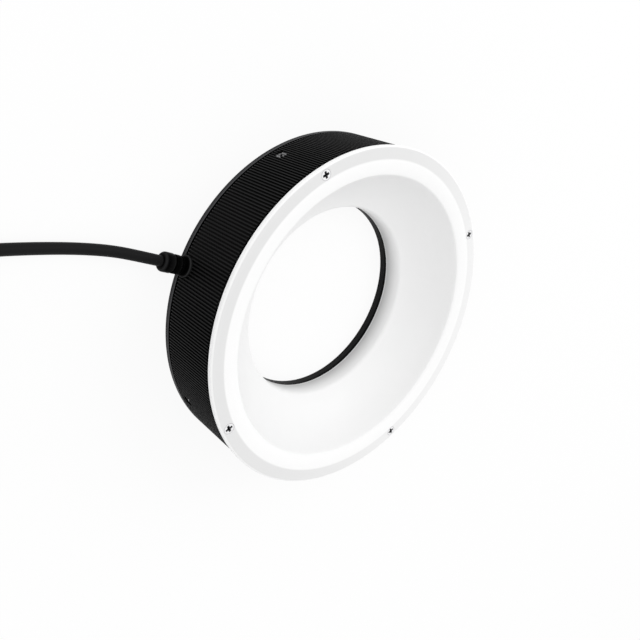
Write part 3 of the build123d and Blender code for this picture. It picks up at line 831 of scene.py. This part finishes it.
class RING_OT_cord(bpy.types.Operator):
    """Lays the cord from the gland to its coil and on to the plug"""

    bl_idname = "ring_light.cord"
    bl_label = "Cord"

    def execute(self, context):
        settings = context.scene.ring_cord
        route = cord_route() * MM
        curve = bpy.data.curves.new("cord", "CURVE")
        curve.dimensions = "3D"
        curve.resolution_u = 6
        curve.render_resolution_u = 6
        curve.bevel_depth = settings.diameter / 2
        curve.bevel_resolution = 5
        curve.use_fill_caps = True
        spline = curve.splines.new("NURBS")
        spline.points.add(len(route) - 1)
        weighted = np.concatenate([route, np.ones((len(route), 1))], axis=1)
        spline.points.foreach_set("co", weighted.astype(np.float32).ravel())
        spline.order_u = 3
        spline.use_endpoint_u = True
        jacket = moulded_finish("cord_jacket", settings.colour, 0.5, gloss=0.09)
        curve.materials.append(jacket)
        cord = bpy.data.objects.new("cord", curve)
        context.scene.collection.objects.link(cord)
        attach(cord, BODY)
        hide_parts("cord_lead", "cord_coil", "cord_tail")
        dress("cord_inner", jacket)
        return {"FINISHED"}


class RING_OT_housing(bpy.types.Operator):
    """Makes the ribbed housing with its rim, relief groove and screw holes"""

    bl_idname = "ring_light.housing"
    bl_label = "Housing"

    def execute(self, context):
        settings = context.scene.ring_housing
        material = anodised_finish("anodised_black", settings.colour)
        mesh = cut(self.ribbed_tube(settings), make_mesh("holes", self.holes()))
        self.mark_cut_edges(mesh)
        make_piece("ribbed_housing", mesh, material, ["housing"], sharp=20.0)
        # Painted shade on the bore's wall above 3.1 mm, where the gap beside the diffuser's neck
        # lies in shade
        cover = anodised_finish("cover_black", lighter(settings.colour, 0.9), painted_shade_above=3.1)
        dress("rear_cover", cover)
        return {"FINISHED"}

    def ribbed_tube(self, settings):
        """Tube whose radius at angle a and outline place s is the outline's radius, less the
        rib depth times how far a is from a crest wherever the outline carries ribs. A rib is
        a flat crest with a small chamfer, a steep flank and a flat valley."""
        depth = settings.rib_depth / MM
        outside, edge_radius, bevel = HOUSING_RADIUS, HOUSING_RADIUS - 0.12, 0.15
        band = HOUSING_RADIUS - depth - 0.13
        # Each station: radius, height, ribs, and the marks for edge wear, valley (painted shade in
        # the rib valleys and grooves) and turned band (painted highlight on the rim and the rib
        # ends)
        stations = np.array(
            [
                (outside - EDGE_CHAMFER, 0.0, 0, 0, 0, 0),
                (outside, EDGE_CHAMFER, 0, 0.4, 0, 0.1),
                (outside, RIM_HEIGHT - 6 * bevel, 0, 0.4, 0, 0.4),
                (outside, RIM_HEIGHT - bevel, 0, 0.8, 0, 1),
                (outside - 0.1, RIM_HEIGHT, 0, 0.8, 0, 1),
                (edge_radius, RIM_HEIGHT, 0, 0, 1, 0),
                (RELIEF_RADIUS, RIM_HEIGHT, 0, 0, 1, 0),
                (RELIEF_RADIUS, RIB_START, 0, 0, 1, 0),
                (edge_radius, RIB_START, 1, 1, 0, 0.5),
                (outside, RIB_START + bevel, 1, 1, 0, 0.7),
                (outside, RIB_START + 6 * bevel, 1, 0.4, 0, 0),
                (outside, (RIB_START + RIB_END) / 2, 1, 0.4, 0, 0),
                (outside, RIB_END - bevel, 1, 0.1, 0, 0),
                (edge_radius, RIB_END, 1, 0, 0, 0),
                (band, RIB_END, 0, 0, 1, 0),
                (band, LAND_TOP, 0, 0, 1, 0),
                (LAND_RADIUS + EDGE_CHAMFER, LAND_TOP, 0, 0, 0, 0),
                (LAND_RADIUS, LAND_TOP - EDGE_CHAMFER, 0, 0, 0, 0),
                (LAND_RADIUS, LAND_BOTTOM, 0, 0, 0, 0),
                (WALL_INSIDE, LAND_BOTTOM, 0, 0, 0, 0),
                (WALL_INSIDE, 0.0, 0, 0, 0, 0),
            ]
        )
        pitch = 2 * pi / settings.rib_count
        crest = RIB_CREST_WIDTH / 2 / HOUSING_RADIUS
        flank = (pitch - 2 * crest) / 4
        # Angles from a rib's middle to its foot, its chamfer's lower edge and its crest's edge
        offsets = np.array([crest + flank, crest + 0.012 * pitch, crest - 0.05 * pitch])
        offsets = np.concatenate([-offsets, offsets[::-1]])
        drops = np.array([depth, RIB_CHAMFER, 0.0, 0.0, RIB_CHAMFER, depth])
        angle = (np.arange(settings.rib_count)[:, None] * pitch + offsets).ravel()[:, None]
        drop = np.tile(drops, settings.rib_count)[:, None]
        radius = stations[None, :, 0] - drop * stations[None, :, 2]
        points = spots(radius * np.cos(angle), radius * np.sin(angle), stations[:, 1])
        raised = np.where(drop < depth / 2, 1.0, 0.0)
        edge = np.where(stations[:, 2] > 0, raised, 1.0) * stations[:, 3]
        # Valley mark: painted shade on the chamfers and valleys of the ribs and in the grooves
        low = np.where(drop > 0, stations[:, 2], 0.0) + stations[:, 4]
        faces = grid_faces(len(angle), len(stations), True, True)
        # Turned mark: painted highlight on the rim band and the rib ends
        rim_painted_highlight = np.broadcast_to(stations[:, 5], edge.shape)
        marks = {"edge": edge, "valley": low, "turned": rim_painted_highlight}
        return make_mesh("ribbed_housing", (points, faces), marks)

    def mark_cut_edges(self, mesh):
        """Marks the ribs anew where holes cut them: a point gets painted valley shade by how far
        it lies under the crests, a chamfer's drop being full painted shade, and on the crests it
        is an edge."""
        points = np.empty(3 * len(mesh.vertices), np.float32)
        mesh.vertices.foreach_get("co", points)
        x, y, height = points.reshape(-1, 3).T / MM
        under = HOUSING_RADIUS - np.hypot(x, y)
        end_margin, crest_edge = 0.2, 0.4
        ribbed = (height > RIB_START + end_margin) & (height < RIB_END - end_margin)
        for key, mark in (
            # Painted valley shade by depth under the crests
            ("valley", np.clip(under / RIB_CHAMFER, 0, 1)),
            ("edge", np.where(under < RIB_CHAMFER / 2, crest_edge, 0.0)),
        ):
            values = np.empty(len(mesh.vertices), np.float32)
            mesh.attributes[key].data.foreach_get("value", values)
            mesh.attributes[key].data.foreach_set("value", np.where(ribbed, mark, values))

    def holes(self):
        """Bars that cut the countersinks, the tapped holes and the gland's seat."""
        tapped = bar(SCREW_CORE + THREAD_GAP, LAND_TOP - TAPPED_DEPTH, LAND_TOP + 1)
        shells = [placed(countersink(), *place) for place in side_places(SIDE_SCREW_SEAT)]
        shells += [placed(tapped, *place) for place in front_places(0)]
        inside, outside = WALL_INSIDE - 2.5, HOUSING_RADIUS + 4.5
        shank, collar = SHANK_RADIUS + GLAND_GAP, COLLAR_RADIUS + GLAND_GAP
        outline = [(0, inside), (shank, inside), (shank, GLAND_SEAT)]
        outline += [(collar, GLAND_SEAT), (collar, outside), (0, outside)]
        seat = turned(outline, 64)
        shells.append(placed(seat, GLAND_AXIS, (0, -1, 0), (-1, 0, 0)))
        return joined(*shells)


class RING_OT_diffuser(bpy.types.Operator):
    """Makes the opal moulding: flange, shoulder, bowl and neck"""

    bl_idname = "ring_light.diffuser"
    bl_label = "Diffuser"

    def execute(self, context):
        settings = context.scene.ring_diffuser
        material = opal_finish("opal_white", settings.colour, settings.land_shade)
        mesh = make_mesh("opal_diffuser", turned(self.outline(), 384))
        holes = [placed(countersink(), *place) for place in front_places(FRONT)]
        mesh = cut(mesh, make_mesh("flange_holes", joined(*holes)))
        make_piece("opal_diffuser", mesh, material, ["front_diffuser"], sharp=40.0)
        return {"FINISHED"}

    def outline(self):
        """Outline of the moulding in radius and height. The bowl is an arc whose chord runs
        from the neck's corner to the crease; the neck's round touches the neck and the arc;
        the shoulder is an arc that ends level at the land's inside; the crease is eased."""
        along = np.array([CREASE[0] - BORE_RADIUS, CREASE[1] - NECK_TOP])
        chord = hypot(*along)
        radius = chord**2 / (8 * BOWL_SAG) + BOWL_SAG / 2
        middle = np.array([CREASE[0] + BORE_RADIUS, CREASE[1] + NECK_TOP]) / 2
        centre = middle + np.array([-along[1], along[0]]) / chord * (radius - BOWL_SAG)
        from_axis = BORE_RADIUS + NECK_ROUND - centre[0]
        round_height = centre[1] - np.sqrt((radius + NECK_ROUND) ** 2 - from_axis**2)
        round_centre = np.array([BORE_RADIUS + NECK_ROUND, round_height])
        meeting = np.arctan2(*(round_centre - centre)[::-1])
        top = np.arctan2(CREASE[1] - centre[1], CREASE[0] - centre[0])
        neck = arc(round_centre, NECK_ROUND, pi, meeting + pi, 10)
        ease = 0.5
        bowl = arc(centre, radius, meeting, top - ease / radius, 40)
        run, drop = LAND_RADIUS - CREASE[0], FRONT - CREASE[1]
        swell = (run**2 + drop**2) / (2 * drop)
        lean = pi / 2 + np.arcsin(run / swell) - ease / swell
        shoulder = arc((LAND_RADIUS, FRONT - swell), swell, lean, pi / 2, 20)
        step = np.linspace(0, 1, 7)[1:-1, None]
        crease = (1 - step) ** 2 * bowl[-1] + step**2 * shoulder[0]
        crease += 2 * step * (1 - step) * np.array(CREASE)
        flange = FLANGE_RADIUS - FLANGE_ROUND
        rim = arc((flange, FRONT - FLANGE_ROUND), FLANGE_ROUND, pi / 2, 0, 8)
        round_below = FLANGE_UNDER_ROUND
        corner = (FLANGE_RADIUS - round_below, LAND_TOP + round_below)
        under = arc(corner, round_below, 0, -pi / 2, 3)
        shell = radius + BOWL_WALL
        high = np.arcsin((LAND_TOP - centre[1]) / shell)
        low = -np.arccos((FOOT_RADIUS - centre[0]) / shell)
        back = arc(centre, shell, high, low, 40)
        foot = [(FOOT_RADIUS, FOOT_BOTTOM), (FOOT_INSIDE, FOOT_BOTTOM)]
        foot += [(FOOT_INSIDE, LIP_TOP), (BORE_RADIUS, LIP_TOP)]
        flat = np.linspace((LAND_RADIUS, FRONT), (flange, FRONT), 6)[1:-1]
        return np.concatenate([neck, bowl, crease, shoulder, flat, rim, under, back, foot])


def screw_shell():
    """Flat head screw with its head's face at z = 0, and two marks on its points: in the
    recess, and near an edge. The face is a height over a square grid that is drawn into a
    disc: the grid point (x, y) goes to (x sqrt(1 - y^2 / 2), y sqrt(1 - x^2 / 2)) on the unit
    disc. With s the distance inside the outline of two crossing arms, the height is a smooth
    step of s times a depth that grows towards the middle. From the face's edge, rings go down
    the cone and the shank to a point at the tip."""
    count = 61
    lines = np.linspace(-1, 1, count)
    u, v = np.meshgrid(lines, lines, indexing="ij")
    x, y = u * np.sqrt(1 - v**2 / 2) * HEAD_RADIUS, v * np.sqrt(1 - u**2 / 2) * HEAD_RADIUS
    away = np.hypot(x, y)

    def arm(across, along):
        half_width = RECESS_HALF_WIDTH - RECESS_TAPER * along / RECESS_REACH
        return np.minimum(half_width - across, RECESS_REACH - along)

    inside = np.maximum(arm(np.abs(x), np.abs(y)), arm(np.abs(y), np.abs(x)))
    flank = 0.12
    cross = eased(np.clip(inside / flank + 0.5, 0, 1))
    face = np.stack([x, y, -RECESS_DEPTH * cross * (1 - 0.45 * away / RECESS_REACH)], axis=-1)
    index = np.arange(count * count).reshape(count, count)
    loop = np.concatenate([index[:-1, 0], index[-1, :-1], index[:0:-1, -1], index[0, :0:-1]])
    rim = face.reshape(-1, 3)[loop] / HEAD_RADIUS
    levels = [(SCREW_CORE, SCREW_CORE - HEAD_RADIUS)]
    levels = np.array(levels + [(SCREW_CORE, -SCREW_LENGTH), (0, -SCREW_LENGTH)])
    rings = rim[None, :, :] * levels[:, None, :1] + levels[:, None, 1:] * np.array([0, 0, 1.0])
    points = np.concatenate([face.reshape(-1, 3), rings.reshape(-1, 3)])
    below = np.arange(rings.shape[0] * len(loop)).reshape(-1, len(loop)) + count * count
    ladder = np.concatenate([loop[None], below])
    ahead = np.roll(ladder, -1, axis=1)
    wall = np.stack([ladder[1:], ahead[1:], ahead[:-1], ladder[:-1]], axis=-1).reshape(-1, 4)
    faces = np.concatenate([grid_faces(count, count), wall])
    # Edge band round the cross and the head's rim: wear and painted light
    recess_wear_and_painted_light, head_wear_and_painted_light = 0.11, 0.32
    edge_wear_and_painted_light = np.maximum(
        np.clip(1 - np.abs(inside + flank / 2) / recess_wear_and_painted_light, 0, 1),
        np.clip(1 - (HEAD_RADIUS - away) / head_wear_and_painted_light, 0, 1),
    )
    blank = np.zeros(rings.shape[0] * len(loop))
    marks = {
        "recess": np.append(cross.ravel(), blank),
        "edge": np.append(edge_wear_and_painted_light.ravel(), blank),
    }
    return (points, faces), marks


def countersink():
    """Cutter of a through hole whose countersink has its edge in the plane z = 0."""
    edge, shank = HEAD_RADIUS + HEAD_GAP, SCREW_CLEARANCE
    above, below = 3, -5
    outline = [(shank, below), (shank, shank - edge), (edge, 0)]
    return turned(outline + [(edge, above), (0, above), (0, below)], 64)


def front_places(height):
    """Origin, side and axis of the four front screws at a height."""
    outs = [np.array([cos(angle), sin(angle), 0.0]) for angle in SCREW_ANGLES]
    return [(out * SCREW_CIRCLE + [0, 0, height], out, (0, 0, 1)) for out in outs]


def side_places(radius):
    """Origin, side and axis of the four side screws at a radius. The side is the direction
    halfway between the light's axis and the way round it, so each recess lies slanting."""
    places = []
    for angle in SCREW_ANGLES:
        out = np.array([cos(angle), sin(angle), 0.0])
        slant = np.array([-sin(angle), cos(angle), 1.0]) / 2**0.5
        places.append((out * radius + [0, 0, SIDE_SCREW_HEIGHT], slant, out))
    return places


class RING_OT_screws(bpy.types.Operator):
    """Makes the front screws on the flange and the side screws in the ribs"""

    bl_idname = "ring_light.screws"
    bl_label = "Screws"

    def execute(self, context):
        # Edge colour: on zinc a painted shadow line round the head and the cross, on black oxide
        # wear with painted glints
        zinc = steel_finish("zinc_plated", (0.97, 0.97, 0.98), (0.22, 0.22, 0.225), 0.26)
        black = steel_finish("black_oxide", (0.16, 0.16, 0.162), (0.95, 0.95, 0.96), 0.22)
        shell, marks = screw_shell()
        front = front_places(FRONT - HEAD_SINK)
        wall = side_places(SIDE_SCREW_SEAT - HEAD_SINK)
        for name, material, slot, node, places in (
            ("flange_screws", zinc, "zinc_steel", "front_screws", front),
            ("wall_screws", black, "black_steel", "side_screws", wall),
        ):
            screws = joined(*[placed(shell, *place) for place in places])
            tiled = {key: np.tile(mark, len(places)) for key, mark in marks.items()}
            make_piece(name, make_mesh(name, screws, tiled), material, [node])
        dress("board_screws", zinc)
        return {"FINISHED"}


class RING_OT_gland(bpy.types.Operator):
    """Makes the moulded strain relief that the cord leaves through"""

    bl_idname = "ring_light.gland"
    bl_label = "Gland"

    def execute(self, context):
        colour = context.scene.ring_cord.colour
        material = moulded_finish("gland_rubber", lighter(colour, 0.1), 0.3, gloss=0.02)
        corners = np.array(GLAND_OUTLINE)
        outline = round_corners(corners[:, :2], corners[:, 2], 6)
        points, faces = turned(outline, 96)
        away, along = np.hypot(points[:, 0], points[:, 1]), points[:, 2]
        # Painted highlights on the gland's rounded edges, carried in the edge mark
        edge = np.zeros(len(points))
        for radius, place, reach, strength in GLAND_PAINTED_HIGHLIGHTS:
            near = 1 - np.hypot(away - radius, along - place) / reach
            edge = np.maximum(edge, np.clip(near, 0, 1) * strength)
        seat = (-GLAND_SEAT, 0, GLAND_AXIS[2])
        shell = placed((points, faces), seat, (0, -1, 0), (-1, 0, 0))
        mesh = make_mesh("strain_relief", shell, {"edge": edge})
        make_piece("strain_relief", mesh, material, ["cable_gland"], sharp=45.0)
        return {"FINISHED"}


class RING_OT_ties(bpy.types.Operator):
    """Makes the tie round the coil and finishes the one on the jacket"""

    bl_idname = "ring_light.ties"
    bl_label = "Ties"

    def execute(self, context):
        nylon = (0.012, 0.012, 0.0126)
        material = moulded_finish("tie_nylon", nylon, 0.34, grain=0.3, depth=0.006, gloss=0.25)
        mesh = make_mesh("coil_strap", joined(self.strap(), self.head()))
        make_piece("coil_strap", mesh, material, ["coil_tie"], sharp=35.0)
        dress("jacket_tie", material)
        return {"FINISHED"}

    def on_coil(self, outward, up, along):
        """Points from distances outward, up and along the cord at the tie's place."""
        angle = radians(COIL_START_ANGLE + 90 * TIE_QUARTER)
        radius = COIL_INNER_RADIUS + COIL_STEP * (CLIMB_QUARTER - TIE_QUARTER)
        out = np.array([cos(angle), sin(angle), 0.0])
        way = np.array([-sin(angle), cos(angle), 0.0])
        middle = np.array([*COIL_CENTRE, (COIL_LOW + COIL_HIGH) / 2]) + out * radius
        return spots(outward, up, along) @ np.stack([out, [0, 0, 1], way]) + middle

    def strap(self):
        """A flat rounded section carried round a stadium: two half circles a layer pitch
        apart. Cross ridges on the outside rise by a cosine of the distance along it."""
        half, width = (COIL_HIGH - COIL_LOW) / 2, TIE_WIDTH / 2
        angle = np.linspace(0, 2 * pi, 160, endpoint=False)[:, None]
        centre = np.where(np.sin(angle) >= 0, half, -half)
        corners = [(0, -width), (TIE_THICKNESS, -width), (TIE_THICKNESS, width), (0, width)]
        section = round_corners(corners, 0.15, 2)
        ridge_height, ridge_count = 0.05, 60
        ridge = ridge_height * np.clip(np.cos(angle * ridge_count), 0, 1)
        reach = CORD_RADIUS + TIE_GAP + section[:, 0] + ridge * (section[:, 0] > 0.3)
        points = self.on_coil(
            reach * np.cos(angle), reach * np.sin(angle) + centre, section[None, :, 1]
        )
        return points, grid_faces(len(angle), len(section), True, True)[:, ::-1]

    def head(self):
        """Head block: a rounded rectangle carried along the cord, its ends drawn in, with
        the strap's cut end standing out of its top."""
        strap_outside, drawn_in = 0.45, 0.25
        start = CORD_RADIUS + TIE_GAP + strap_outside
        thick, tall, long = TIE_HEAD[0], TIE_HEAD[1] / 2, TIE_HEAD[2] / 2
        block = round_corners([(0, -tall), (thick, -tall), (thick, tall), (0, tall)], 0.35, 3)
        end = round_corners([(0.85, 1.8), (1.45, 1.8), (1.45, 2.6), (0.85, 2.6)], 0.1, 2)
        shells = []
        # Half of the spans: place along the cord and the share of the outline's size there
        for outline, spans in (
            (block, [(-long, 0), (-long, 0.86), (drawn_in - long, 1)]),
            (end, [(-1.3, 0), (-1.3, 1)]),
        ):
            spans = spans + [(-place, share) for place, share in reversed(spans)]
            place, share = np.array(spans, float).T[:, :, None]
            centre = outline.mean(axis=0)
            ring = centre + (outline - centre) * share[..., None]
            points = self.on_coil(ring[..., 0] + start, ring[..., 1], place)
            shells.append((points, grid_faces(len(spans), len(outline), False, True)[:, ::-1]))
        return joined(*shells)


class RING_OT_plug(bpy.types.Operator):
    """Makes the shrunk sleeve and the two wires, and finishes the plug's shell and contacts"""

    bl_idname = "ring_light.plug"
    bl_label = "Plug"

    def execute(self, context):
        rubber = (0.011, 0.011, 0.0115)
        sleeve = moulded_finish("shrink_sleeve", rubber, 0.5, grain=0.4, depth=0.02, gloss=0.2)
        mesh = make_mesh("shrink_sleeve", self.sleeve())
        make_piece("shrink_sleeve", mesh, sleeve, ["plug_sleeve"], sharp=50.0)
        for side, name, slot, colour in (
            (1, "positive", "wire_brown", (0.2, 0.075, 0.035)),
            (-1, "negative", "wire_blue", (0.035, 0.13, 0.42)),
        ):
            skin = moulded_finish(f"wire_{name}", colour, 0.38)
            mesh = make_mesh(f"wire_{name}", self.wire(side))
            make_piece(f"wire_{name}", mesh, skin, [f"plug_wire_{name}"], sharp=60.0)
            dress(f"lead_{name}", skin)
        nylon = (0.014, 0.014, 0.0147)
        shell = moulded_finish("plug_nylon", nylon, 0.38, grain=0.25, depth=0.008, gloss=0.25)
        dress("plug_shell", shell)
        dress("plug_contacts", contact_finish("tin_plate", (0.72, 0.7, 0.64)))
        return {"FINISHED"}

    def sleeve(self):
        """Shrunk sleeve: a round wall on the jacket that becomes an oval round the wires. At
        distance t the half widths go by a smooth step from the jacket's to the wires', and
        the outside ripples by a sine."""
        out = np.linspace(-SLEEVE_ON_JACKET, SLEEVE_PAST_JACKET, 36)
        back = np.linspace(SLEEVE_PAST_JACKET, -SLEEVE_ON_JACKET, 24)
        t = np.concatenate([out, back])
        narrowed = eased(np.clip((t + 0.4) / 2.6, 0, 1))
        wall = np.where(np.arange(len(t)) < len(out), SLEEVE_WALL + 0.03 * np.sin(t * 5.1), 0.0)
        wide, tall = (
            (SLEEVE_INSIDE - (SLEEVE_INSIDE - mouth) * narrowed + wall)[:, None]
            for mouth in SLEEVE_MOUTH
        )
        angle = np.arange(48) * (2 * pi / 48)
        points = spots(t[:, None], wide * np.cos(angle), tall * np.sin(angle)) + TAIL_END
        return points, grid_faces(len(t), len(angle), True, True)[:, ::-1]

    def wire(self, side):
        """Wire that spreads sideways by a smooth step between the jacket and the shell, and
        bows up or down by half a sine wave."""
        t = np.linspace(0, 1, 28)
        aside = WIRE_SPACING + (WIRE_PITCH - WIRE_SPACING) * eased(t)
        path = spots(WIRE_RUN * t, side * aside / 2, side * WIRE_SAG * np.sin(pi * t))
        return tube(path + TAIL_END, WIRE_RADIUS, 20)


class RING_OT_source(bpy.types.Operator):
    """Finishes the board, LEDs and small parts inside the light"""

    bl_idname = "ring_light.source"
    bl_label = "Light source"

    def execute(self, context):
        dress("led_board", board_finish("solder_mask", (0.86, 0.87, 0.84)))
        dress("led_lenses", lens_finish("led_phosphor", (0.86, 0.66, 0.12)))
        for node, name, colour, roughness in (
            ("led_packages", "led_body", (0.88, 0.87, 0.82), 0.42),
            ("string_resistors", "resistor_glaze", (0.03, 0.03, 0.035), 0.25),
            ("terminal_block", "terminal_nylon", (0.84, 0.84, 0.81), 0.4),
            ("thermal_pad", "thermal_silicone", (0.38, 0.42, 0.46), 0.7),
        ):
            dress(node, moulded_finish(name, colour, roughness))
        return {"FINISHED"}


class RING_PT_panel(bpy.types.Panel):
    bl_label = "Ring Light"
    bl_idname = "RING_PT_panel"
    bl_space_type = "VIEW_3D"
    bl_region_type = "UI"
    bl_category = "Ring Light"

    def draw(self, context):
        scene = context.scene
        for settings, operators in (
            (scene.ring_stage, ["stage"]),
            (scene.ring_cord, ["cord", "gland", "ties", "plug"]),
            (scene.ring_housing, ["housing", "screws", "source"]),
            (scene.ring_diffuser, ["diffuser"]),
        ):
            box = self.layout.box()
            for key in type(settings).__annotations__:
                box.prop(settings, key)
            for name in operators:
                box.operator(f"ring_light.{name}")


SETTINGS = {
    "ring_housing": HousingSettings,
    "ring_diffuser": DiffuserSettings,
    "ring_cord": CordSettings,
    "ring_stage": StageSettings,
}
OPERATORS = (
    RING_OT_stage,
    RING_OT_cord,
    RING_OT_gland,
    RING_OT_ties,
    RING_OT_plug,
    RING_OT_housing,
    RING_OT_diffuser,
    RING_OT_screws,
    RING_OT_source,
)
CLASSES = (*SETTINGS.values(), *OPERATORS, RING_PT_panel)


def register():
    for cls in CLASSES:
        bpy.utils.register_class(cls)
    for name, group in SETTINGS.items():
        setattr(bpy.types.Scene, name, PointerProperty(type=group))


def unregister():
    for name in SETTINGS:
        delattr(bpy.types.Scene, name)
    for cls in reversed(CLASSES):
        bpy.utils.unregister_class(cls)


def main():
    register()
    for operator in OPERATORS:
        group, name = operator.bl_idname.split(".")
        getattr(getattr(bpy.ops, group), name)()


if __name__ == "__main__":
    main()
